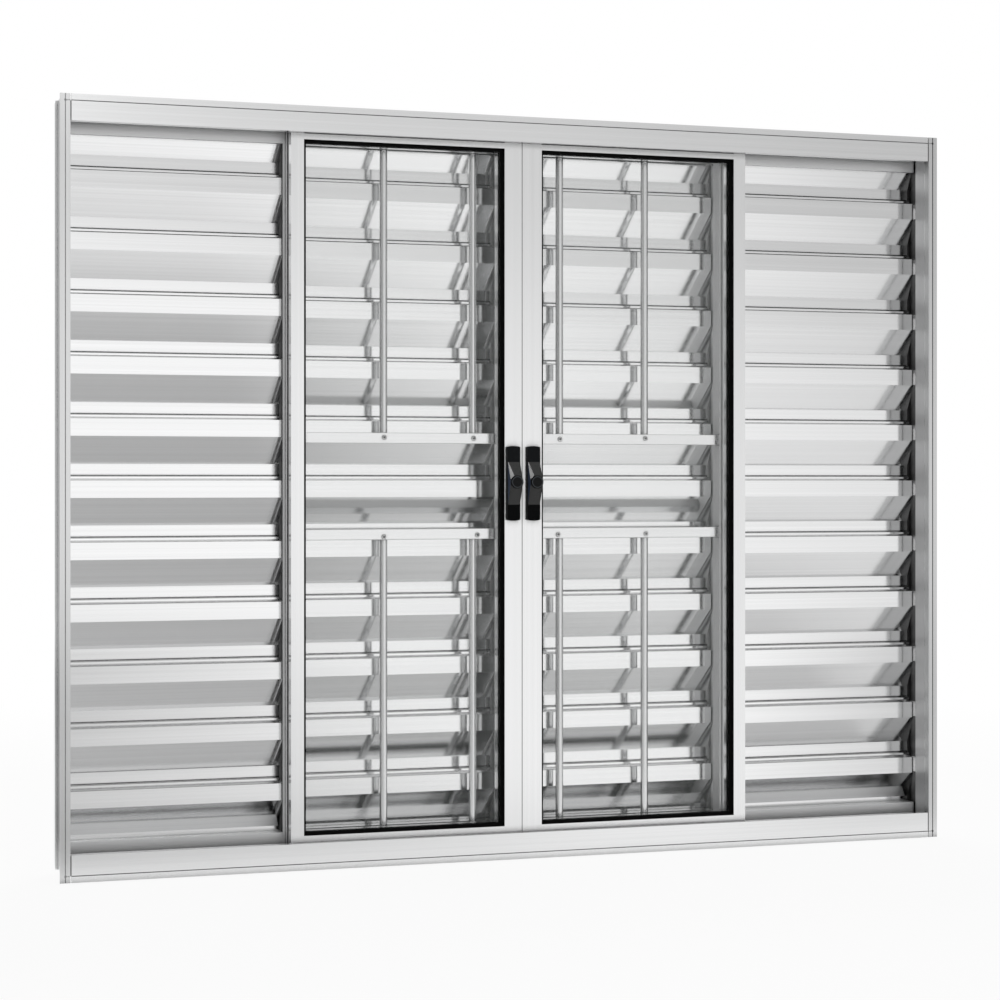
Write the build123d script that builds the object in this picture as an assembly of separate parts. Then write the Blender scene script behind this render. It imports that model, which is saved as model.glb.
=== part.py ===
from build123d import *
from math import ceil, sqrt
import os

# A six-leaf louvred sliding window in aluminium, seen from the room.
# X runs to the right, Y runs from the room into the wall, Z runs up.
# The origin is on the back of the sill flange, in the middle of the width and of the strip of
# flange that laps the wall. All sizes are in millimetres.

# Overall frame
frame_width = 1500.0
frame_height = 1200.0
wall = 1.5

# Flange round the room side, which laps the wall
flange_thickness = 2.0
flange_lap = 10.0
groove_width = 1.5
groove_depth = 1.0

# Head, sill and jambs
head_face = 41.0
sill_face = 42.0
jamb_face = 16.0
jamb_groove_from_edge = 7.5
rail_groove_from_edge = 9.5
corner_notch_width = 3.0
corner_notch_depth = 1.6
jamb_box_from_edge = 9.0
jamb_step = 0.8
anchor_fin_from_edge = 5.4
anchor_fin_behind = 0.5
jamb_foot_notch = 9.0
fascia_box_depth = 12.0
guide_setback = 6.0
guide_clearance = 0.5
rear_clearance = 1.5
fascia_joint = 1.5
track_height = 12.0

# The middle of the sashes lies a little right of the frame's middle
middle_offset = 5.0

# Glass sashes, in the front track
sash_front = 13.0
sash_depth = 35.0
sash_half_span = 391.0
sash_stile_width = 21.0
left_meeting_width = 30.0
right_meeting_width = 33.5
meeting_joint_offset = 5.5
meeting_gap = 0.4
sash_rail_width = 23.0
sash_groove_from_front = 14.0
sash_groove_width = 13.0
sash_groove_depth = 3.0
sash_opening_bottom = 52.0
sash_opening_from_top = 51.0
rebate_depth = 8.0
gasket_width = 5.0
gasket_depth = 7.0
glass_thickness = 4.0
glass_edge_cover = 6.0

# Louvre panels: the fixed ones in the middle plane, the sliding leaves behind them
panel_depth = 27.0
mullion_width = 34.0
mullion_half_span = 395.0
leaf_half_span = 391.0
leaf_stile_width = 29.0
channel_depth = 5.5
blade_seat_depth = 3.0
panel_opening_bottom = 54.0
panel_opening_from_top = 54.0
panel_rail_height = 26.0

# Louvre blades, from the lap at the bottom of each one up to its top flange
blade_pitch = 96.0
blade_thickness = 1.2
blade_lap = 5.0
blade_gap = 3.1
blade_lip_height = 3.1
blade_lip_reach = 8.0
blade_foot_height = 9.2
blade_foot_step = 1.7
blade_back_flange = 17.0
blade_web_height = 43.0
blade_return = 6.0
blade_first_from_top = 108.5
blade_clearance = 0.3

# Grille behind the glass
flat_bar_height = 17.0
flat_bar_depth = 16.0
upper_bar_height = 671.5
lower_bar_height = 516.5
round_bar_diameter = 12.7
round_bar_wall = 1.2
round_bar_count = 4

# Latches on the meeting stiles
latch_width = 22.0
latch_height = 121.0
latch_arch = 1.6
latch_middle_height = 607.0
latch_outward = 1.3
latch_plate = 6.0
latch_edge = 0.8
latch_hump_length = 69.0
latch_hump_height = 5.0
latch_knob_diameter = 21.0
latch_knob_height = 4.0
latch_knob_right = 3.0
latch_knob_up = 2.2

# Rollers under the sashes and leaves
roller_diameter = 15.0
roller_width = 6.0
axle_diameter = 4.0
roller_from_end = 60.0

# Working positions
base = -flange_lap / 2
left_edge = -frame_width / 2
right_edge = frame_width / 2
front = -flange_thickness
middle = middle_offset
track_gap = wall + 2 * guide_clearance
sash_back = sash_front + sash_depth
fixed_front = sash_back + track_gap
fixed_back = fixed_front + panel_depth
leaf_front = fixed_back + track_gap
back = leaf_front + panel_depth + rear_clearance + wall
head_top = base + frame_height
head_under = head_top - head_face
sill_top = base + sill_face
head_web = head_top - flange_lap - wall
sill_web = base + flange_lap
joint_x = middle - meeting_joint_offset
opening_low = base + panel_opening_bottom
opening_high = head_top - panel_opening_from_top
sash_clear_low = base + sash_opening_bottom
sash_clear_high = head_top - sash_opening_from_top
sash_low = sash_clear_low - sash_rail_width
sash_high = sash_clear_high + sash_rail_width
leaf_low = opening_low - panel_rail_height
leaf_high = opening_high + panel_rail_height
glass_front = sash_front + rebate_depth + gasket_depth
sill_floor = sill_web + wall
sash_track = sash_front + sash_depth / 2
leaf_track = leaf_front + panel_depth / 2
track_top = sill_floor + track_height
first_line = head_top - blade_first_from_top
blade_count = ceil((first_line + blade_pitch - blade_lap - opening_low) / blade_pitch)


def sheet(low, high):
    """A rectangle between two corners of a section."""
    size = (high[0] - low[0], high[1] - low[1])
    return Pos(low[0], low[1]) * Rectangle(*size, align=(Align.MIN, Align.MIN))


def section(*pieces):
    """Walls given as pairs of corners, joined into one section."""
    face = Sketch() + [sheet(*corners) for corners in pieces]
    return face.clean()


def folded(corners):
    """A sheet folded along its outer corners, with its thickness on the left of the way."""
    points = [Vector(*corner) for corner in corners]
    runs = [(end - start).normalized() for start, end in zip(points, points[1:])]
    sides = [Vector(-run.Y, run.X) for run in runs]
    inner = []
    for point, before, after in zip(points, sides[:1] + sides, sides + sides[-1:]):
        inner.append(point + (before + after) * (blade_thickness / (1 + before.dot(after))))
    return make_face(Polyline(*points, *reversed(inner), close=True))


def upright(face, bottom, top):
    """A section in plan, run from one height to another."""
    return extrude(Plane.XY.offset(bottom) * face, amount=top - bottom)


def across(face, left, right):
    """A section in side view, with Y across and Z up, run from left to right."""
    return extrude(Plane.YZ.offset(left) * face, amount=right - left)


def mirrored(corners, about):
    """The corners of a wall of a section in plan, turned left for right."""
    (x0, y0), (x1, y1) = corners
    return (2 * about - x1, y0), (2 * about - x0, y1)


def plan_section(pieces, edge, hand):
    """Walls measured from an edge, towards the right for hand 1 and the left for hand -1."""
    placed = []
    for (a0, y0), (a1, y1) in pieces:
        corners = (edge + a0, y0), (edge + a1, y1)
        placed.append(corners if hand > 0 else mirrored(corners, edge))
    return section(*placed)


def corner_groove(edge, hand, low):
    """Where a rail's groove runs on over a jamb, with a notch where it meets the jamb's own."""
    high = low + groove_width
    start = edge + hand * jamb_groove_from_edge
    left, right = sorted((start, edge + hand * jamb_face))
    groove = block(left, right, front, front + groove_depth, low, high)
    notch_x = start + hand * groove_width / 2
    half = corner_notch_width / 2
    centre = (low + high) / 2
    notch = block(notch_x - half, notch_x + half, front, front + corner_notch_depth,
                  centre - half, centre + half)
    return groove + notch


def jamb(edge, hand):
    """A frame jamb: flange, hollow front wall, channel for the blades and an anchor fin."""
    box = jamb_box_from_edge
    channel = jamb_face - channel_depth
    web = fixed_front - 3 * wall
    seat = fixed_back - blade_seat_depth
    inner = jamb_face - jamb_step
    walls = [
        ((0, front + groove_depth), (jamb_face, 0)),
        ((0, front), (jamb_groove_from_edge, 0)),
        ((jamb_groove_from_edge + groove_width, front), (jamb_face, 0)),
        ((box, 0), (channel, back)),
        ((jamb_face - wall, 0), (jamb_face, fascia_box_depth)),
        ((inner - wall, fascia_box_depth - wall), (jamb_face, fascia_box_depth)),
        ((inner - wall, fascia_box_depth - wall), (inner, web)),
        ((box, web - wall), (inner, web)),
        ((channel - wall, seat), (jamb_face, fixed_back)),
        ((box, back - wall), (jamb_face, back)),
    ]
    fin_front = fixed_back + anchor_fin_behind
    fin = [((anchor_fin_from_edge, fin_front), (box + wall, fin_front + wall))]
    body = upright(plan_section(walls, edge, hand), base, head_top)
    wing = upright(plan_section(fin, edge, hand), base + jamb_foot_notch, head_top)
    notch_side = edge + hand * (box + jamb_face) / 2
    notch = Pos(notch_side, back / 2, base) * Box(2 * jamb_face, back, 2 * jamb_foot_notch)
    for low in (base + rail_groove_from_edge, head_top - rail_groove_from_edge - groove_width):
        body -= corner_groove(edge, hand, low)
    return body - notch + wing


def guides(low, high):
    """The two walls that part the three tracks."""
    first = sash_back + guide_clearance
    second = leaf_front - guide_clearance - wall
    return [((first, low), (first + wall, high)), ((second, low), (second + wall, high))]


def rail(fascia, body):
    """A head or sill: its body seats on the jambs and its fascia stops a little short of them."""
    left = left_edge + jamb_face
    right = right_edge - jamb_face
    plate = across(section(*fascia), left + fascia_joint, right - fascia_joint)
    return plate + across(section(*body), left, right)


def head():
    """The head: a grooved fascia on a box, a web and the guides that part the tracks."""
    groove = head_top - rail_groove_from_edge
    inner = fascia_box_depth - wall
    fascia = [
        ((front + groove_depth, head_under), (0, head_top)),
        ((front, head_under), (0, groove - groove_width)),
        ((front, groove), (0, head_top)),
    ]
    walls = guides(head_under + guide_setback, head_web) + [
        ((0, head_under), (fascia_box_depth, head_under + wall)),
        ((inner, head_under), (fascia_box_depth, head_web)),
        ((0, head_web), (back, head_web + wall)),
        ((back - wall, head_under), (back, head_web)),
    ]
    return rail(fascia, walls)


def sill():
    """The sill: like the head, with two tracks for the rollers."""
    groove = base + rail_groove_from_edge
    inner = fascia_box_depth - wall
    fascia = [
        ((front + groove_depth, base), (0, sill_top)),
        ((front, base), (0, groove)),
        ((front, groove + groove_width), (0, sill_top)),
    ]
    walls = guides(sill_web, sill_top - guide_setback) + [
        ((0, sill_top - wall), (fascia_box_depth, sill_top)),
        ((inner, sill_web), (fascia_box_depth, sill_top)),
        ((0, sill_web), (back, sill_floor)),
        ((back - wall, sill_web), (back, sill_top)),
    ]
    for track in (sash_track, leaf_track):
        walls.append(((track - wall / 2, sill_web), (track + wall / 2, track_top)))
    return rail(fascia, walls)


def channel_stile(width, depth_front, seat_first):
    """Walls of a tube with an open channel for blade ends on its side at zero."""
    depth_back = depth_front + panel_depth
    seat = depth_back - blade_seat_depth
    walls = [
        ((0, depth_front), (width, depth_front + wall)),
        ((channel_depth, depth_front), (channel_depth + wall, depth_back)),
        ((width - wall, depth_front), (width, depth_back)),
        ((channel_depth, depth_back - wall), (width, depth_back)),
    ]
    if seat_first:
        walls.append(((0, seat), (channel_depth + wall, depth_back)))
    return walls


def panel_rail(left, right, depth_front, bottom, top, open_below=False):
    """A hollow rail of a louvre panel, open below where it holds rollers."""
    depth_back = depth_front + panel_depth
    walls = [
        ((depth_front, bottom), (depth_front + wall, top)),
        ((depth_back - wall, bottom), (depth_back, top)),
        ((depth_front, top - wall), (depth_back, top)),
    ]
    if not open_below:
        walls.append(((depth_front, bottom), (depth_back, bottom + wall)))
    return across(section(*walls), left, right)


def blade_face(depth_front, line):
    """A louvre blade in side view; line is the height of the next blade's top edge."""
    near = depth_front + wall + blade_clearance
    deep = depth_front + panel_depth - blade_clearance - blade_thickness
    far = deep - blade_foot_step
    foot = line + blade_foot_height
    web = foot + blade_back_flange
    flange = web + blade_web_height
    top = line + blade_pitch
    lip = line + blade_gap + blade_lip_height
    lip_front = deep - blade_lip_reach
    face = folded([
        (near + blade_return, top),
        (near, top),
        (near, flange),
        (far, web),
        (far, foot),
        (deep, foot - blade_foot_step),
        (deep, line - blade_lap),
    ])
    face += sheet((lip_front, lip - blade_thickness), (deep, lip))
    face += sheet((lip_front, line + blade_gap), (lip_front + blade_thickness, lip))
    return face


def blades(left, right, depth_front):
    """The blades of one panel, cut to the opening between its rails."""
    room = Pos((left + right) / 2, depth_front + panel_depth / 2, (opening_low + opening_high) / 2)
    limit = room * Box(2 * (right - left), 2 * panel_depth, opening_high - opening_low)
    pieces = []
    for number in range(blade_count):
        line = first_line - number * blade_pitch
        pieces.append(across(blade_face(depth_front, line), left, right) & limit)
    return Compound(children=[solid for piece in pieces for solid in piece.solids()])


def sash_outer_walls():
    """The outer side of a glass sash member, with a groove for a brush seal."""
    groove = sash_front + sash_groove_from_front
    end = groove + sash_groove_width
    depth = sash_groove_depth + wall
    return [
        ((0, sash_front), (wall, groove)),
        ((0, groove - wall), (depth, groove)),
        ((sash_groove_depth, groove - wall), (depth, end + wall)),
        ((0, end), (depth, end + wall)),
        ((0, end), (wall, sash_back)),
    ]


def sash_walls(width):
    """Walls of a glass sash member; zero is its outer side and the glass is past its width."""
    glass_back = glass_front + glass_thickness
    pocket = width - glass_edge_cover - 2 * wall
    bead = width + gasket_width
    return [
        ((0, sash_front), (width, sash_front + wall)),
        ((width - wall, sash_front), (width, glass_front)),
        ((pocket, sash_front), (pocket + wall, sash_back)),
        ((bead - wall, glass_back), (bead, sash_back)),
        ((0, sash_back - wall), (bead, sash_back)),
    ]


def sash_stile(edge, width, hand):
    """An upright of a glass sash, between the head and the sill tracks."""
    walls = sash_walls(width) + sash_outer_walls()
    return upright(plan_section(walls, edge, hand), sash_low, sash_high)


def sash_rail(left, right, edge, hand):
    """A rail of a glass sash, coped round the stiles' beads.

    Hand 1 is the bottom rail, open below for its rollers, and hand -1 the top one.
    """
    walls = []
    pieces = sash_walls(sash_rail_width)
    if hand < 0:
        pieces += sash_outer_walls()
    for (a0, y0), (a1, y1) in pieces:
        heights = sorted((edge + hand * a0, edge + hand * a1))
        walls.append(((y0, heights[0]), (y1, heights[1])))
    member = across(section(*walls), left, right)
    reach = hand * (sash_rail_width + gasket_width)
    low, high = sorted((edge, edge + reach))
    for end, inner in ((left, left + gasket_width), (right - gasket_width, right)):
        member -= block(end, inner, glass_front + glass_thickness, sash_back, low, high)
    return member


def block(left, right, near, far, low, high):
    """A plain rectangular solid between six planes."""
    centre = ((left + right) / 2, (near + far) / 2, (low + high) / 2)
    return Pos(*centre) * Box(right - left, far - near, high - low)


def glass_sash(side, left, right, left_width, right_width):
    """The six pieces of one glass sash; its meeting stile is on the side away from its name."""
    clear_left = left + left_width
    clear_right = right - right_width
    low = sash_clear_low
    high = sash_clear_high
    cover = glass_edge_cover
    pane = block(clear_left - cover, clear_right + cover, glass_front,
                 glass_front + glass_thickness, low - cover, high + cover)
    ring = block(clear_left, clear_right, sash_front + rebate_depth, glass_front, low, high)
    hole = block(clear_left + gasket_width, clear_right - gasket_width, sash_front,
                 sash_back, low + gasket_width, high - gasket_width)
    stiles = [sash_stile(left, left_width, 1), sash_stile(right, right_width, -1)]
    if side == "right":
        stiles.reverse()
    return {
        f"{side}_sash_outer_stile": stiles[0],
        f"{side}_sash_meeting_stile": stiles[1],
        f"{side}_sash_bottom_rail": sash_rail(clear_left, clear_right, sash_low, 1),
        f"{side}_sash_top_rail": sash_rail(clear_left, clear_right, sash_high, -1),
        f"{side}_glass": pane,
        f"{side}_gasket": ring - hole,
    }


def louvre_leaf(side, left, right):
    """The five pieces of one sliding louvre leaf."""
    width = leaf_stile_width
    walls = []
    for (a0, y0), (a1, y1) in channel_stile(width, leaf_front, True):
        walls.append(((width - a1, y0), (width - a0, y1)))
    stiles = [upright(plan_section(walls, left, 1), leaf_low, leaf_high),
              upright(plan_section(walls, right, -1), leaf_low, leaf_high)]
    if side == "right":
        stiles.reverse()
    inner_left = left + width
    inner_right = right - width
    top_rail = panel_rail(inner_left, inner_right, leaf_front, opening_high, leaf_high)
    bottom_rail = panel_rail(inner_left, inner_right, leaf_front, leaf_low, opening_low, True)
    return {
        f"{side}_leaf_outer_stile": stiles[0],
        f"{side}_leaf_meeting_stile": stiles[1],
        f"{side}_leaf_top_rail": top_rail,
        f"{side}_leaf_bottom_rail": bottom_rail,
        f"{side}_leaf_blades": blades(inner_left, inner_right, leaf_front),
    }


def fixed_panel(side, left, right):
    """The mullion, rails and blades of one fixed louvre panel."""
    at_left = side == "left"
    edge = right if at_left else left
    walls = channel_stile(mullion_width, fixed_front, True)
    mullion = upright(plan_section(walls, edge, 1 if at_left else -1), sill_floor, head_web)
    rails = [panel_rail(left, right, fixed_front, low, high)
             for low, high in ((sill_floor, opening_low), (opening_high, head_web))]
    return {
        f"{side}_mullion": mullion,
        f"{side}_fixed_rails": Compound(children=rails),
        f"{side}_fixed_blades": blades(left, right, fixed_front),
    }


def rollers(spans, track, axle_length):
    """Two wheels under each sash or leaf, each on an axle between the walls of its rail."""
    radius = roller_diameter / 2
    profile = Rectangle(roller_width, radius, align=(Align.CENTER, Align.MIN))
    profile += Rectangle(axle_length, axle_diameter / 2, align=(Align.CENTER, Align.MIN))
    wheel = revolve(profile, Axis.X)
    wheels = []
    for left, right in spans:
        for x in (left + roller_from_end, right - roller_from_end):
            wheels.append(Pos(x, track, track_top + radius) * Rot(0, 0, 90) * wheel)
    return Compound(children=wheels)


def grille():
    """Two flat tubes across the middle and round bars above and below them."""
    left = middle - mullion_half_span + mullion_width
    right = middle + mullion_half_span - mullion_width
    far = fixed_front + flat_bar_depth
    pitch = (right - left + mullion_width) / (round_bar_count + 1)
    first = middle - pitch * (round_bar_count - 1) / 2
    radius = round_bar_diameter / 2
    ring = Circle(radius) - Circle(radius - round_bar_wall)
    bars = {}
    for name, low in (("upper", upper_bar_height), ("lower", lower_bar_height)):
        bottom = base + low
        top = bottom + flat_bar_height
        tube = block(left, right, fixed_front, far, bottom, top)
        bore = block(left, right, fixed_front + wall, far - wall, bottom + wall, top - wall)
        bars[f"{name}_flat_bar"] = tube - bore
        start, end = (top, head_web) if name == "upper" else (sill_floor, bottom)
        rods = []
        for number in range(round_bar_count):
            place = Plane((first + number * pitch, fixed_front + flat_bar_depth / 2, start))
            rods.append(extrude(place * ring, amount=end - start))
        bars[f"{name}_round_bars"] = Compound(children=rods)
    return bars


def cut_rectangle(plane, centre, width, height, cut):
    """The corners of a rectangle on a plane, with each of its four corners cut off."""
    a = width / 2
    b = height / 2
    quarter = [(a - cut, b), (a, b - cut)]
    right_half = quarter + [(u, -v) for u, v in reversed(quarter)]
    outline = right_half + [(-u, v) for u, v in reversed(right_half)]
    return [plane.from_local_coords((centre[0] + u, centre[1] + v, 0)) for u, v in outline]


def faceted(foot, crown):
    """A hump with flat sides between two outlines whose edges are parallel, each to each."""
    faces = [Face(Wire.make_polygon(foot)), Face(Wire.make_polygon(crown))]
    for number in range(len(foot)):
        corners = (foot[number - 1], foot[number], crown[number], crown[number - 1])
        faces.append(Face(Wire.make_polygon(corners)))
    return Solid(Shell(faces))


def latch(side, x):
    """A latch on a meeting stile: an arched back plate, and a faceted hump with a round knob."""
    height = base + latch_middle_height
    reach = latch_width / 2
    shoulder = latch_height / 2 - latch_arch
    outline = [
        Line((-reach, -shoulder), (-reach, shoulder)),
        ThreePointArc((-reach, shoulder), (0, latch_height / 2), (reach, shoulder)),
        Line((reach, shoulder), (reach, -shoulder)),
        ThreePointArc((reach, -shoulder), (0, -latch_height / 2), (-reach, -shoulder)),
    ]
    seat = Plane((x, sash_front, height), x_dir=(1, 0, 0), z_dir=(0, -1, 0))
    plate = extrude(seat * make_face(outline), amount=latch_plate)
    plate = chamfer(plate.faces().sort_by(Axis.Y)[0].edges(), latch_edge)
    knob_at = (latch_knob_right, latch_knob_up)
    foot = cut_rectangle(seat.offset(latch_plate), (0, 0), latch_width - 2 * latch_edge,
                         latch_hump_length, latch_edge)
    crown_plane = seat.offset(latch_plate + latch_hump_height)
    span = latch_knob_diameter
    crown = cut_rectangle(crown_plane, knob_at, span, span, span * (1 - sqrt(0.5)))
    knob = extrude(crown_plane * Pos(*knob_at) * Circle(latch_knob_diameter / 2),
                   amount=latch_knob_height)
    knob = chamfer(knob.faces().sort_by(Axis.Y)[0].edges(), latch_edge)
    lever = faceted(foot, crown) + knob
    return {f"{side}_latch_base": plate, f"{side}_latch_lever": lever}


leaf_spans = ((middle - leaf_half_span, middle - meeting_gap / 2),
              (middle + meeting_gap / 2, middle + leaf_half_span))
sash_spans = ((middle - sash_half_span, joint_x - meeting_gap / 2),
              (joint_x + meeting_gap / 2, middle + sash_half_span))

nodes = {
    "head_rail": head(),
    "sill_rail": sill(),
    "left_jamb": jamb(left_edge, 1),
    "right_jamb": jamb(right_edge, -1),
}
nodes |= fixed_panel("left", left_edge + jamb_face, middle - mullion_half_span)
nodes |= fixed_panel("right", middle + mullion_half_span, right_edge - jamb_face)
nodes |= louvre_leaf("left", *leaf_spans[0])
nodes |= louvre_leaf("right", *leaf_spans[1])
nodes |= glass_sash("left", *sash_spans[0], sash_stile_width, left_meeting_width)
nodes |= glass_sash("right", *sash_spans[1], right_meeting_width, sash_stile_width)
nodes["sash_rollers"] = rollers(sash_spans, sash_track, sash_depth - 2 * wall)
nodes["leaf_rollers"] = rollers(leaf_spans, leaf_track, panel_depth - 2 * wall)
nodes |= grille()
nodes |= latch("left", joint_x - left_meeting_width / 2 - latch_outward)
nodes |= latch("right", joint_x + right_meeting_width / 2 + latch_outward)

os.makedirs("parts", exist_ok=True)
for name, shape in nodes.items():
    export_step(shape, f"parts/{name}.step")
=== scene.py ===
import math
import bpy
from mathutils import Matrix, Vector


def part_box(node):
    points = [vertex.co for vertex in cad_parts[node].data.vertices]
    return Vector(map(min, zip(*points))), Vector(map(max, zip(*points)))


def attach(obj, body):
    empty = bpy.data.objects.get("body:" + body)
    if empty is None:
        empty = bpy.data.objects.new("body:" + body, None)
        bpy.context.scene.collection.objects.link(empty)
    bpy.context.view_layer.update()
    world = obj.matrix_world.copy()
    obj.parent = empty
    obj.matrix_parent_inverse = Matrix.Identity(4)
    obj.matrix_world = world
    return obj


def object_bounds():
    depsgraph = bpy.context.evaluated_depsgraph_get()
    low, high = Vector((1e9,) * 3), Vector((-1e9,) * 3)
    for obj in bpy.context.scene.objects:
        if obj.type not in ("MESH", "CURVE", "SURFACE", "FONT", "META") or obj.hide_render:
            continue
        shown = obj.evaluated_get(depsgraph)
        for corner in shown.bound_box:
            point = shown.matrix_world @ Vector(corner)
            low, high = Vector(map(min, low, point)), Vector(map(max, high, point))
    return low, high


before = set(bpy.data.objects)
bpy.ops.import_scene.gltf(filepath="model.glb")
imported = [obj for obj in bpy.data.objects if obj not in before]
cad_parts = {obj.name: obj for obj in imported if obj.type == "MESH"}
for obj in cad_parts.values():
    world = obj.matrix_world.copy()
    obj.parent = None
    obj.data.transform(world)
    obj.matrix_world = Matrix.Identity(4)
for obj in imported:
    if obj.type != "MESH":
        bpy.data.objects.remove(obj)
cad_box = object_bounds()
sill_foot = cad_box[0].z


# Shader maths

class Sock:
    """A shader socket whose maths is written as Python expressions."""

    def __init__(self, tree, socket):
        self.tree = tree
        self.socket = socket

    def maths(self, operation, other, swap=False, clamp=False):
        node = self.tree.nodes.new("ShaderNodeMath")
        node.operation = operation
        node.use_clamp = clamp
        first, second = (1, 0) if swap else (0, 1)
        self.tree.links.new(self.socket, node.inputs[first])
        if isinstance(other, Sock):
            self.tree.links.new(other.socket, node.inputs[second])
        else:
            node.inputs[second].default_value = other
        return Sock(self.tree, node.outputs[0])

    def __add__(self, other):
        return self.maths("ADD", other)

    __radd__ = __add__

    def __mul__(self, other):
        return self.maths("MULTIPLY", other)

    __rmul__ = __mul__

    def __sub__(self, other):
        return self.maths("SUBTRACT", other)

    def __rsub__(self, other):
        return self.maths("SUBTRACT", other, swap=True)

    def __truediv__(self, other):
        return self.maths("DIVIDE", other)

    def __rtruediv__(self, other):
        return self.maths("DIVIDE", other, swap=True)

    def clamped(self):
        return self.maths("ADD", 0.0, clamp=True)

    def size(self):
        return self.maths("ABSOLUTE", 0.0)

    def least(self, other):
        return self.maths("MINIMUM", other)

    def within(self, low, high):
        """1 between two values and 0 outside them."""
        inside = self.maths("COMPARE", (low + high) / 2)
        inside.socket.node.inputs[2].default_value = (high - low) / 2
        return inside

    def ramp(self, none, full):
        """0 at the first value, 1 at the second, and straight between them, up or down."""
        return ((self - none) / (full - none)).clamped()


class Shading:
    """A node tree for a material or the world, with one method that adds any node."""

    def __init__(self, tree):
        self.tree = tree

    def node(self, kind, settings=None, output=0, **inputs):
        node = self.tree.nodes.new(kind)
        for key, value in (settings or {}).items():
            setattr(node, key, value)
        for key, value in inputs.items():
            place = int(key[4:]) if key[:4] == "slot" else key.replace("_", " ")
            self.feed(node.inputs[place], value)
        return Sock(self.tree, node.outputs[output])

    def feed(self, socket, value):
        if isinstance(value, Sock):
            self.tree.links.new(value.socket, socket)
        else:
            socket.default_value = value

    def axes(self, vector):
        parts = self.node("ShaderNodeSeparateXYZ", Vector=vector).socket.node
        return [Sock(self.tree, socket) for socket in parts.outputs]


class Material(Shading):
    """A node material with one Principled shader."""

    def __init__(self, name, **settings):
        self.data = bpy.data.materials.new(name)
        self.data.use_nodes = True
        super().__init__(self.data.node_tree)
        self.shader = self.tree.nodes["Principled BSDF"]
        self.set(**settings)

    def set(self, **settings):
        for key, value in settings.items():
            self.feed(self.shader.inputs[key.replace("_", " ")], value)

    def place(self):
        return self.node("ShaderNodeTexCoord", output="Object")

    def normal(self):
        return self.node("ShaderNodeNewGeometry", output="Normal")

    def grey(self, value, warmth=0.0):
        return self.node("ShaderNodeCombineColor", Red=value * (1 + warmth), Green=value,
                         Blue=value * (1 - warmth))

    def stretched_noise(self, scale, detail):
        place = self.node("ShaderNodeMapping", Vector=self.place(), Scale=scale)
        return self.node("ShaderNodeTexNoise", Vector=place, Scale=1.0, Detail=detail)

    def noise(self, per_metre, detail):
        return self.stretched_noise([per_metre] * 3, detail)

    def cover(self, other, factor):
        """Another shader takes the place of this one where the factor is 1."""
        mix = self.node("ShaderNodeMixShader", Fac=factor,
                        slot1=Sock(self.tree, self.shader.outputs[0]), slot2=other)
        self.feed(self.tree.nodes["Material Output"].inputs["Surface"], mix)


# Places on the aluminium with painted shade, or that look duller or paler, in metres from the
# frame's boxes. Each function takes the place on the object and a mask of the faces that look
# sideways, and gives how much painted shade a place has and where it is dull. A range reaches a
# little past the face that it colours.

past = 0.0001
channel_depth = 0.0055
channel_rear = 0.0005
window_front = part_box("right_jamb")[0].y

# The grooves' range ends a hair past the floor of the notches where they cross at the corners
notch_depth, hair = 0.0016, 0.00001
groove_depths = (window_front + past, window_front + notch_depth + hair)


def channel_shade(z, beside_webs, beside_flanges):
    """One darkness beside the blades' webs and laps, and another beside their flanges."""
    line, pitch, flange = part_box("left_fixed_blades")[1].z - 0.0545, 0.096, 0.735
    rows = ((z - line) / pitch).maths("FRACT", 0.0).within(flange, 1.0)
    return beside_webs - (beside_webs - beside_flanges) * rows


def stile_channel(x, y, node, open_at_right):
    """1 in the channel for blade ends of a stile at the right, and of its twin at the left.

    The twins stand alike from the middle of the panels, a little to the right of the window's own.
    """
    middle = (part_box("left_mullion")[0].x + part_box("right_mullion")[1].x) / 2
    low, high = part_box(node)
    floor_side, mouth_side = channel_depth + past, past
    if open_at_right:
        near, far = high.x - floor_side, high.x + mouth_side
    else:
        near, far = low.x - mouth_side, low.x + floor_side
    front_wall = 0.0013
    across = (x - middle).size().within(near - middle, far - middle)
    return across * y.within(low.y + front_wall, high.y - channel_rear)


def jamb_insides(x, y, z, side):
    """Painted shade in the blades' channel and the front groove, a pale rear, a dull inner side."""
    low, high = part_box("right_jamb")
    face, edge = low.x, high.x
    panel_front, panel_back = (corner.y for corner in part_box("right_mullion"))
    lip_back, seat = low.y + 0.0132, panel_front - 0.0043
    off = x.size()
    channel = off.within(face + past, face + channel_depth + past)
    channel = channel * y.within(seat, panel_back - channel_rear) * channel_shade(z, 0.86, 0.20)
    # Painted shade in the front groove, darker on the right jamb than on the left
    left_groove_shade, right_groove_shade = 0.30, 0.90
    at_right = x.maths("GREATER_THAN", 0.0)
    groove = off.within(edge - 0.0094, edge - 0.0071) * y.within(*groove_depths)
    groove = groove * (left_groove_shade + (right_groove_shade - left_groove_shade) * at_right)
    rear = off.within(face + 0.0065, face + 0.0105) * y.within(panel_front - 0.0005, high.y + 0.001)
    strip = off.within(face + past, face + 0.0021) * y.within(lip_back, seat)
    lip = off.within(face - 0.0005, face + past) * y.within(low.y - past, lip_back)
    return channel + groove - 0.28 * rear, strip + lip


def rail_insides(x, y, z, side):
    """Painted shade in the fine groove along the head and the sill, and in the gap where the head
    laps the sashes.
    """
    sash_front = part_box("left_sash_top_rail")[0].y
    head_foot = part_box("head_rail")[0].z
    # Painted shade in the gap under the head's lap
    lap_gap_shade = y.within(sash_front - 0.0005, sash_front + 0.0005)
    lap_gap_shade = lap_gap_shade * z.within(head_foot - 0.001, head_foot + 0.006)
    return y.within(*groove_depths) * 0.6 + lap_gap_shade * 0.8, None


def stile_insides(x, y, z, side):
    """Painted shade along the joint between the two glass sashes."""
    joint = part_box("left_sash_meeting_stile")[1].x
    half = 0.0007
    return x.within(joint - half, joint + half) * 0.6, None


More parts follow.
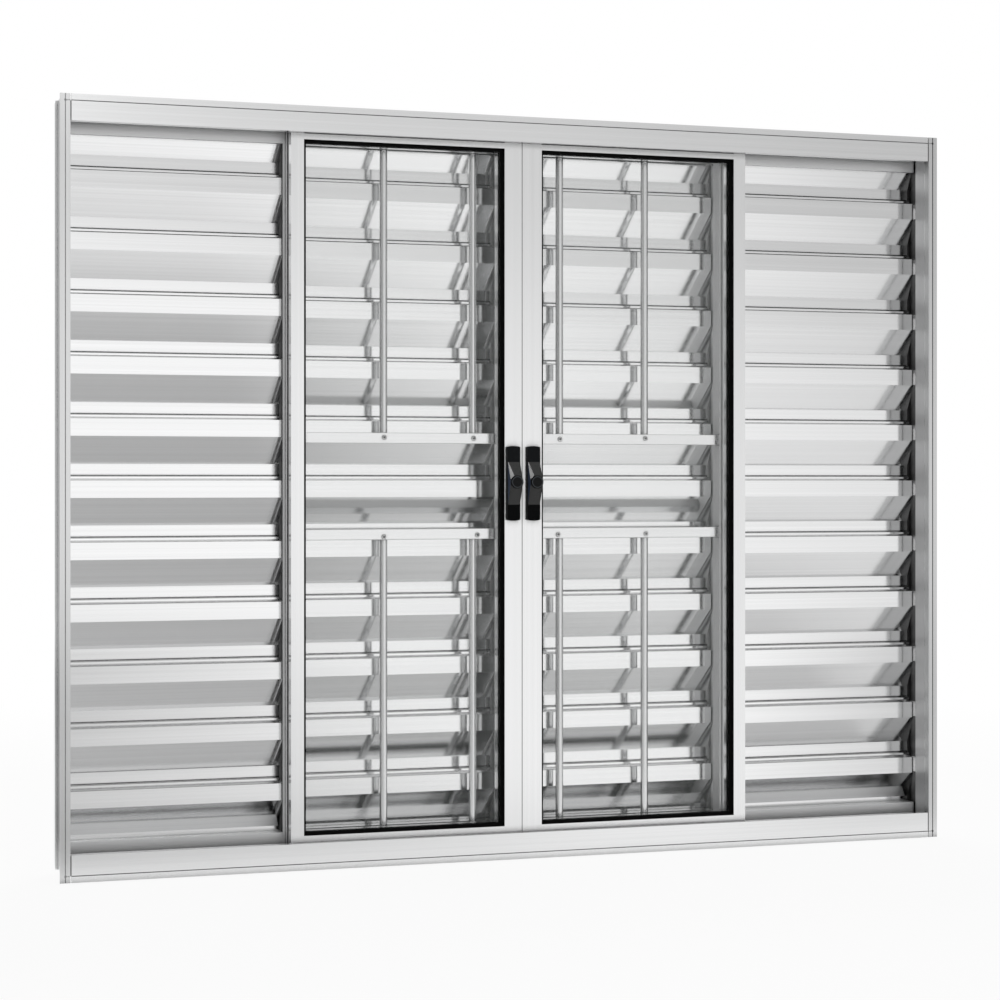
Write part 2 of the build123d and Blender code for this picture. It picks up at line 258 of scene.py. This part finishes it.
def flat_bar_edge_shade(x, y, z, side):
    """Painted shade along the top and bottom edges of the flat bars."""
    shaded_edge_width = 0.0007
    edges = 0
    for bar in ("upper_flat_bar", "lower_flat_bar"):
        foot, top = (corner.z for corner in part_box(bar))
        # Painted shade in a thin band at the foot and top of each flat bar
        edges = edges + z.within(foot - past, foot + shaded_edge_width) + z.within(top - shaded_edge_width, top + past)
    return edges * 0.4, None


def mullion_insides(x, y, z, side):
    """Painted shade in the channel for the fixed blades' ends, and the dull sides."""
    channel = stile_channel(x, y, "right_mullion", open_at_right=True)
    return channel * channel_shade(z, 0.62, 0.12), side


def leaf_insides(x, y, z, side):
    """Painted shade in both stiles' channels for the sliding blades' ends, and the dull sides."""
    inner = stile_channel(x, y, "right_leaf_meeting_stile", open_at_right=True)
    outer = stile_channel(x, y, "right_leaf_outer_stile", open_at_right=False)
    return (inner + outer) * 0.3, side


def blade_insides(x, y, z, side):
    """Painted shade on the front of each blade's hidden foot, which shows only through the gap
    at its lap.
    """
    foot_shade = 0
    for blades in ("left_fixed_blades", "left_leaf_blades"):
        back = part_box(blades)[1].y
        # Painted shade in a thin band on each blade's foot
        foot_shade = foot_shade + y.within(back - 0.0015, back - 0.0009)
    return foot_shade * 0.20, None


# Finishes

def anodised(name, grain, colour=0.88, roughness=0.19, streak=0.07, reach=0.012, darkest_painted_shade=0.0,
             insides=None):
    """Satin anodised aluminium, with fine drawn lines along one axis and painted shade, from
    ambient occlusion, that darkens deep recesses.
    """
    material = Material(name, Metallic=1.0)
    along = "XYZ".index(grain)

    def lines(across, run, detail):
        scale = [across] * 3
        scale[along] = run
        return material.stretched_noise(scale, detail) - 0.5

    fine = lines(across=420.0, run=0.5, detail=3.0)
    broad = lines(across=150.0, run=0.3, detail=2.0)
    clouds = material.noise(3.0, 2.0) - 0.5
    # Painted shade: ambient occlusion darkens the colour in recesses, creases and gaps
    open_sky = material.node("ShaderNodeAmbientOcclusion", {"samples": 1}, output="AO",
                             Distance=reach)
    recess = darkest_painted_shade + (1 - darkest_painted_shade) * open_sky.ramp(0.14, 0.54)
    value = (colour + fine * streak + broad * streak + clouds * 0.02) * recess
    dull = roughness + broad * 0.06 + clouds * 0.04
    if insides:
        side = material.axes(material.normal())[0].size().within(0.9, 1.1)
        dark, strip = insides(*material.axes(material.place()), side)
        # Painted shade from the insides function darkens the colour; its strips are a little darker
        # and duller
        value = value * (1 - 0.94 * dark)
        dull = dull + 0.4 * dark
        if strip:
            value = value * (1 - 0.06 * strip)
            dull = dull + 0.35 * strip
    bump = material.node("ShaderNodeBump", Strength=0.12, Distance=0.00005, Height=fine)
    material.set(Base_Color=material.grey(value, -0.003), Normal=bump, Roughness=dull)
    return material.data


def clear_glass():
    """Float glass, clear from the front, with a faint film that lets a veil of light show."""
    material = Material("clear glass", Base_Color=(0.84, 0.88, 0.86, 1), Roughness=0.02, IOR=1.5)
    film = material.stretched_noise((2.0, 2.0, 1.2), 3.0)
    material.set(Alpha=0.03 + film * 0.03)
    return material.data


def black_rubber():
    """Matt black rubber with a fine skin."""
    material = Material("black glazing rubber", Specular_IOR_Level=0.04)
    skin = material.noise(300.0, 3.0)
    material.set(Base_Color=material.grey(0.002 + skin * 0.004), Roughness=0.45 + skin * 0.15,
                 Normal=material.node("ShaderNodeBump", Strength=0.2, Distance=0.0002, Height=skin))
    return material.data


def latch_plate():
    """The plate: black, and a little greyer above the lever than below it."""
    material = Material("black latch plate", Specular_IOR_Level=0.04)
    wear = material.noise(60.0, 3.0)
    height = material.axes(material.place())[2]
    value = 0.001 + wear * 0.003 + height.ramp(0.602, 0.612) * 0.009
    material.set(Base_Color=material.grey(value, -0.10), Roughness=0.22 + wear * 0.10)
    return material.data


def latch_lever():
    """The lever: a faceted hump with painted cool light on its left side and a painted highlight on
    its upper facet, and a darker knob with a painted highlight round its rim.
    """
    material = Material("black latch lever", Specular_IOR_Level=0.42)
    wear = material.noise(60.0, 3.0)
    mottle = material.noise(500.0, 2.0)
    x, y, z = material.axes(material.place())
    lean, _, rise = material.axes(material.normal())
    left_cool_light = lean.within(-1.1, -0.5)
    upper_facet_highlight = lean.within(-0.05, 0.3) * rise.within(0.1, 0.4)
    # Painted light: faces that look left are lighter and bluer, and the upper facet has a painted
    # highlight
    value = 0.008 + wear * 0.006 + upper_facet_highlight * (0.012 + mottle * 0.03) + left_cool_light * 0.044
    cool = material.node("ShaderNodeCombineColor", Red=value * (1 - 0.22 * left_cool_light),
                         Green=value * 1.02, Blue=value * (1 + 0.6 * left_cool_light))
    material.set(Base_Color=cool, Roughness=0.10 + wear * 0.05)
    knob_from_right, knob_up = 0.0105, 0.0022
    ring_radius, ring_half_width = 0.0086, 0.0009
    knob_front, knob_foot = -0.003, 0.0016
    from_knobs = []
    for side in ("left", "right"):
        low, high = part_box(side + "_latch_lever")
        centre = (high.x - knob_from_right, 0.0, (low.z + high.z) / 2 + knob_up)
        flat = material.node("ShaderNodeCombineXYZ", X=x, Z=z)
        from_knobs.append(material.node("ShaderNodeVectorMath", {"operation": "DISTANCE"},
                                        output="Value", Vector=flat, slot1=centre))
    from_knob = from_knobs[0].least(from_knobs[1])
    # A painted highlight in a thin band round each knob's rim
    rim_highlight = (from_knob - ring_radius).size().ramp(ring_half_width, 0.0)
    knob = material.node("ShaderNodeBsdfPrincipled", Specular_IOR_Level=0.12, Roughness=0.16,
                         Base_Color=material.grey(0.005 + rim_highlight * 0.09, -0.1))
    material.cover(knob, y.within(knob_front, knob_foot))
    return material.data


def nylon():
    """Off-white nylon for the rollers."""
    material = Material("roller nylon")
    cloud = material.noise(80.0, 3.0)
    material.set(Base_Color=material.grey(0.6 + cloud * 0.1, 0.03), Roughness=0.45 + cloud * 0.1)
    return material.data


def screw_steel():
    """Bright steel, with painted shade at the bottom of the cross recess."""
    material = Material("screw steel", Metallic=1.0)
    wear = material.noise(400.0, 2.0)
    depth = material.axes(material.place())[1]
    bar_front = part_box("upper_flat_bar")[0].y
    # Painted shade at the bottom of the cross recess
    recess = depth.within(bar_front - 0.0012, bar_front - 0.0008)
    material.set(Base_Color=material.grey((0.82 + wear * 0.16) * (1 - 0.93 * recess)),
                 Roughness=0.26 + wear * 0.12)
    return material.data


def seal_pile():
    """Grey woven pile."""
    material = Material("seal pile", Roughness=0.9, Specular_IOR_Level=0.1)
    tuft = material.noise(700.0, 2.0)
    material.set(Base_Color=material.grey(0.40 + tuft * 0.20))
    return material.data


finishes = {
    "rail": anodised("anodised rail", "X", insides=rail_insides),
    "fixed_rails": anodised("anodised panel rail", "X", roughness=0.42, reach=0.004),
    "stile": anodised("anodised stile", "Z", insides=stile_insides),
    "jamb": anodised("anodised jamb", "Z", colour=0.74, insides=jamb_insides),
    "mullion": anodised("anodised mullion", "Z", roughness=0.45, reach=0.003,
                        insides=mullion_insides),
    "leaf": anodised("anodised leaf stile", "Z", reach=0.006, insides=leaf_insides),
    "blades": anodised("anodised louvre blade", "X", colour=0.93, roughness=0.11, streak=0.10,
                       reach=0.006, darkest_painted_shade=0.3, insides=blade_insides),
    "flat_bar": anodised("anodised flat bar", "X", colour=0.94, insides=flat_bar_edge_shade),
    "round_bars": anodised("anodised round bar", "Z", colour=0.86),
    "glass": clear_glass(),
    "gasket": black_rubber(),
    "latch_base": latch_plate(),
    "latch_lever": latch_lever(),
    "rollers": nylon(),
    "pile": seal_pile(),
}


def finish_of(node):
    """The finish for a node, by the first of these words that is in its name."""
    for words in ("glass", "gasket", "latch_base", "latch_lever", "rollers", "blades", "flat_bar",
                  "round_bars", "fixed_rails", "rail", "jamb", "mullion", "leaf"):
        if words in node:
            return finishes[words]
    return finishes["stile"]


for node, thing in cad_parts.items():
    for slot in thing.material_slots:
        slot.material = finish_of(node)


# Pieces that repeat

class Tree:
    """A geometry tree with named inputs and one method that adds any node."""

    def __init__(self, name):
        self.tree = bpy.data.node_groups.new(name, "GeometryNodeTree")
        self.tree.interface.new_socket("Geometry", in_out="OUTPUT",
                                       socket_type="NodeSocketGeometry")
        self.start = self.tree.nodes.new("NodeGroupInput")
        self.end = self.tree.nodes.new("NodeGroupOutput")
        self.values = {}
        self.given("Places", "Geometry")

    def given(self, name, kind="Float", value=None):
        socket = self.tree.interface.new_socket(name, in_out="INPUT",
                                                socket_type="NodeSocket" + kind)
        self.values[name] = (socket.identifier, value)
        return self.start.outputs[name]

    def node(self, kind, settings=None, output=0, **inputs):
        node = self.tree.nodes.new(kind)
        for key, value in (settings or {}).items():
            setattr(node, key, value)
        for key, value in inputs.items():
            place = int(key[4:]) if key[:4] == "slot" else key.replace("_", " ")
            socket = node.inputs[place]
            if isinstance(value, bpy.types.NodeSocket):
                self.tree.links.new(value, socket)
            else:
                socket.default_value = value
        return node.outputs[output]

    def maths(self, operation, first, second):
        return self.node("ShaderNodeMath", {"operation": operation}, slot0=first, slot1=second)

    def vector(self, x=0.0, y=0.0, z=0.0):
        return self.node("ShaderNodeCombineXYZ", X=x, Y=y, Z=z)

    def finish(self, geometry, material):
        solid = self.node("GeometryNodeRealizeInstances", Geometry=geometry)
        done = self.node("GeometryNodeSetMaterial", Geometry=solid, Material=material)
        self.tree.links.new(done, self.end.inputs[0])

    def grow(self, name, points, edges, slot):
        """The tree's result on these places, as a plain mesh that rides with the window."""
        places = bpy.data.meshes.new(name + " places")
        places.from_pydata(points, edges, [])
        holder = bpy.data.objects.new(name + " places", places)
        bpy.context.collection.objects.link(holder)
        modifier = holder.modifiers.new("grow", "NODES")
        modifier.node_group = self.tree
        for identifier, value in self.values.values():
            if value is not None:
                modifier[identifier] = value
        graph = bpy.context.evaluated_depsgraph_get()
        mesh = bpy.data.meshes.new_from_object(holder.evaluated_get(graph))
        mesh.name = name
        bpy.data.objects.remove(holder)
        piece = bpy.data.objects.new(name, mesh)
        bpy.context.collection.objects.link(piece)
        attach(piece, "root")
        return piece


def pan_head_screws(points):
    """Cross-recess screw heads that face the room, each turned its own way."""
    tree = Tree("pan head screws")
    width = tree.given("Head width", value=0.0084)
    height = tree.given("Head height", value=0.0024)
    recess = tree.given("Recess span", value=0.0046)
    seed = tree.given("Turn seed", "Int", 4)
    dome = tree.node("GeometryNodeMeshUVSphere", Segments=32, Rings=16,
                     Radius=tree.maths("MULTIPLY", width, 0.5))
    squat = tree.maths("DIVIDE", tree.maths("MULTIPLY", height, 2.0), width)
    dome = tree.node("GeometryNodeTransform", Geometry=dome, Scale=tree.vector(1.0, 1.0, squat))
    slit = tree.maths("MULTIPLY", recess, 0.36)
    deep = tree.maths("MULTIPLY", height, 1.2)
    lift = tree.vector(z=height)
    head = dome
    # The second slot is a little deeper, so that their floors don't share a plane
    for x, y, share in ((recess, slit, 1.0), (slit, recess, 1.05)):
        cutter = tree.node("GeometryNodeMeshCube",
                           Size=tree.vector(x, y, tree.maths("MULTIPLY", deep, share)))
        cutter = tree.node("GeometryNodeTransform", Geometry=cutter, Translation=lift)
        head = tree.node("GeometryNodeMeshBoolean", {"operation": "DIFFERENCE"},
                         slot0=head, slot1=cutter)
    turn = tree.node("FunctionNodeRandomValue", {"data_type": "FLOAT"}, output=1,
                     slot2=0.0, slot3=1.6, Seed=seed)
    facing = tree.vector(x=math.radians(90), y=turn)
    placed = tree.node("GeometryNodeInstanceOnPoints", Points=tree.start.outputs["Places"],
                       Instance=head, Rotation=facing)
    tree.finish(placed, screw_steel())
    return tree.grow("grille_screws", points, [], "grille")


def brush_seals(name, edges, lean):
    """Pile along the given lines, which stands out of its groove towards lean."""
    tree = Tree(name.replace("_", " "))
    spacing = tree.given("Tuft spacing", value=0.0011)
    length = tree.given("Pile length", value=0.0034)
    thickness = tree.given("Tuft thickness", value=0.0011)
    seed = tree.given("Lean seed", "Int", 7)
    line = tree.node("GeometryNodeMeshToCurve", Mesh=tree.start.outputs["Places"])
    points = tree.node("GeometryNodeResampleCurve", {"mode": "LENGTH"}, Curve=line, Length=spacing)
    tuft = tree.node("GeometryNodeMeshCone", {"fill_type": "NGON"}, Vertices=3, Depth=length,
                     Radius_Bottom=tree.maths("MULTIPLY", thickness, 0.5),
                     Radius_Top=tree.maths("MULTIPLY", thickness, 0.25))
    sway = tree.node("FunctionNodeRandomValue", {"data_type": "FLOAT_VECTOR"}, Seed=seed,
                     slot0=(-0.16, -0.16, 0.0), slot1=(0.16, 0.16, 1.5))
    tuft = tree.node("GeometryNodeTransform", Geometry=tuft, Rotation=lean)
    placed = tree.node("GeometryNodeInstanceOnPoints", Points=points, Instance=tuft, Rotation=sway)
    tree.finish(placed, finishes["pile"])
    places = [corner for edge in edges for corner in edge]
    pairs = [(number, number + 1) for number in range(0, len(places), 2)]
    return tree.grow(name, places, pairs, "gasket")


def bar_screw_places():
    """One screw where each round bar meets a flat bar, a little off line as they were driven."""
    low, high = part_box("upper_round_bars")
    reach = (high.y - low.y) / 2
    bars = [low.x + reach + (high.x - low.x - 2 * reach) * number / 3 for number in range(4)]
    strays_in_mm = {
        "upper_flat_bar": ((-0.9, 0.9), (-0.8, 0.3), (-2.0, -0.3), (-1.3, 1.7)),
        "lower_flat_bar": ((-1.6, -3.9), (5.6, -1.9), (-5.3, -2.2), (-0.4, -2.1)),
    }
    places = []
    for bar, strays in strays_in_mm.items():
        foot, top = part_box(bar)
        for x, (aside, up) in zip(bars, strays):
            places.append((x + aside / 1000, foot.y, (foot.z + top.z) / 2 + up / 1000))
    return places


def stile_seal_lines():
    """Lines along the groove in the outer side of each glass sash."""
    inset, first_row, row_gap, end_gap = 0.0014, 0.0165, 0.0016, 0.004
    lines = []
    for side, hand in (("left", 1), ("right", -1)):
        low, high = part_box(side + "_sash_outer_stile")
        x = (low.x if hand > 0 else high.x) + hand * inset
        for row in range(6):
            y = low.y + first_row + row * row_gap
            lines.append(((x, y, low.z + end_gap), (x, y, high.z - end_gap)))
    return lines


pan_head_screws(bar_screw_places())
brush_seals("stile_brush_seals", stile_seal_lines(), (0.0, math.radians(90), 0.0))

# The camera, worked out from the edges of the frame in the photograph
camera_data = bpy.data.cameras.new("camera")
camera_data.sensor_width = 36.0
camera_data.lens = 87.77
camera_data.shift_y = -0.0193
camera = bpy.data.objects.new("camera", camera_data)
camera.location = (-1.326, -3.715, 0.6063)
camera.rotation_euler = (math.radians(90), 0, math.radians(-19.05))
bpy.context.collection.objects.link(camera)
bpy.context.scene.camera = camera


# Studio

def plane(name, size, location, material):
    mesh = bpy.data.meshes.new(name)
    half = size / 2
    mesh.from_pydata([(-half, -half, 0), (half, -half, 0), (half, half, 0), (-half, half, 0)], [],
                     [(0, 1, 2, 3)])
    mesh.materials.append(material)
    thing = bpy.data.objects.new(name, mesh)
    thing.location = location
    bpy.context.collection.objects.link(thing)


def pale_floor():
    """A pale floor that runs out to the white of the backdrop and keeps the window's soft shadow.

    The camera sees it nearly white. The metal sees painted light, where the floor glows white: a
    pool of light in front of the right half, a bright floor beyond it, a sheen at low angles, and
    less light at both ends. Reach is the distance from the window's front, and x runs along the
    window, in metres.
    """
    material = Material("pale floor", Base_Color=(0.8, 0.8, 0.8, 1), Roughness=0.9)
    camera_ray = material.node("ShaderNodeLightPath", output="Is Camera Ray")
    glossy_ray = material.node("ShaderNodeLightPath", output="Is Glossy Ray")
    place = material.place()
    out = material.node("ShaderNodeVectorMath", {"operation": "LENGTH"}, output="Value",
                        Vector=place)
    far = out.ramp(1.5, 3.0)
    x, y, _ = material.axes(place)
    reach = y.size()
    # Painted light for reflections: these masks set where the floor glows white to glossy rays
    along = x.ramp(-0.244, 0.496).least(x.ramp(1.444, 0.333))
    near = 0.02 + 0.10 * reach.ramp(0.4, 0.1) * x.ramp(0.833, 0.0)
    pool = (reach.ramp(-0.026, 0.5) * along + near).clamped()
    first_step = (0.52 + 0.12 * x) * reach.ramp(0.66, 0.78)
    second_step = 0.45 * reach.ramp(0.93, 1.01)
    beyond = (first_step + second_step).clamped() * (1 - 0.9 * x.ramp(0.6, 1.6))
    low_angle = material.node("ShaderNodeLayerWeight", output="Facing", Blend=0.5)
    sheen = (1.3 * low_angle * low_angle * low_angle).clamped()
    lit = 1 - (1 - pool) * (1 - 0.95 * beyond) * (1 - sheen)
    grazing = low_angle.ramp(0.6, 0.85)
    between = reach.ramp(0.05, 0.35) * reach.ramp(7.5, 3.5)
    left_end = (x - 0.19 * reach).ramp(0.2, -0.976)
    right_end = (x - 0.5 * reach).ramp(0.3, 1.014)
    lit = lit * (1 - grazing * between * (left_end + right_end).clamped())
    white = material.node("ShaderNodeEmission", Strength=1.0)
    material.cover(white, camera_ray * (0.93 + 0.07 * far) + glossy_ray * lit)
    return material.data


def studio_world():
    """Soft light all round. The metal sees a white backdrop, darker above and to both sides."""
    world = bpy.data.worlds.new("studio")
    bpy.context.scene.world = world
    world.use_nodes = True
    shading = Shading(world.node_tree)
    x, y, z = shading.axes(shading.node("ShaderNodeTexCoord", output="Generated"))
    soft = 0.56 - 0.10 * y
    below_edge = (z + 0.17 * x).ramp(0.150, 0.120)
    front_left = x.ramp(-0.05, -0.31) * y.ramp(0.5, -0.5)
    far_right = x.ramp(0.36, 0.50)
    around = (0.88 - 0.12 * y) * (1 - 0.572 * front_left) * (1 - 0.196 * far_right)
    backdrop = (0.66 + 0.34 * below_edge) * around
    camera_ray = shading.node("ShaderNodeLightPath", output="Is Camera Ray")
    glossy_ray = shading.node("ShaderNodeLightPath", output="Is Glossy Ray")
    through_ray = shading.node("ShaderNodeLightPath", output="Is Transmission Ray")
    seen = (1 - soft) * (camera_ray + through_ray).clamped()
    background = world.node_tree.nodes["Background"]
    background.inputs["Color"].default_value = (1, 1, 1, 1)
    shading.feed(background.inputs["Strength"], soft + seen + (backdrop - soft) * glossy_ray)


def lamp(name, size, energy, location, target, mirrored=True):
    """A rectangular lamp. One that isn't mirrored leaves no bright spot on the metal."""
    data = bpy.data.lights.new(name, "AREA")
    data.shape = "RECTANGLE"
    data.size, data.size_y = size
    data.energy = energy
    thing = bpy.data.objects.new(name, data)
    thing.location = location
    thing.visible_glossy = mirrored
    aim = Vector(target) - Vector(location)
    thing.rotation_euler = aim.to_track_quat("-Z", "Y").to_euler()
    bpy.context.collection.objects.link(thing)


plane("floor", 14.0, (0, 0, sill_foot - 0.002), pale_floor())
studio_world()
lamp("front lamp", (0.3, 0.22), 5.5, (0.13, -7.0, 3.0), (0, 0, 0.6))
lamp("back lamp", (1.6, 0.8), 40, (0.6, 1.4, 3.3), (0, -0.2, 0), mirrored=False)

bpy.context.scene.view_settings.view_transform = "Standard"
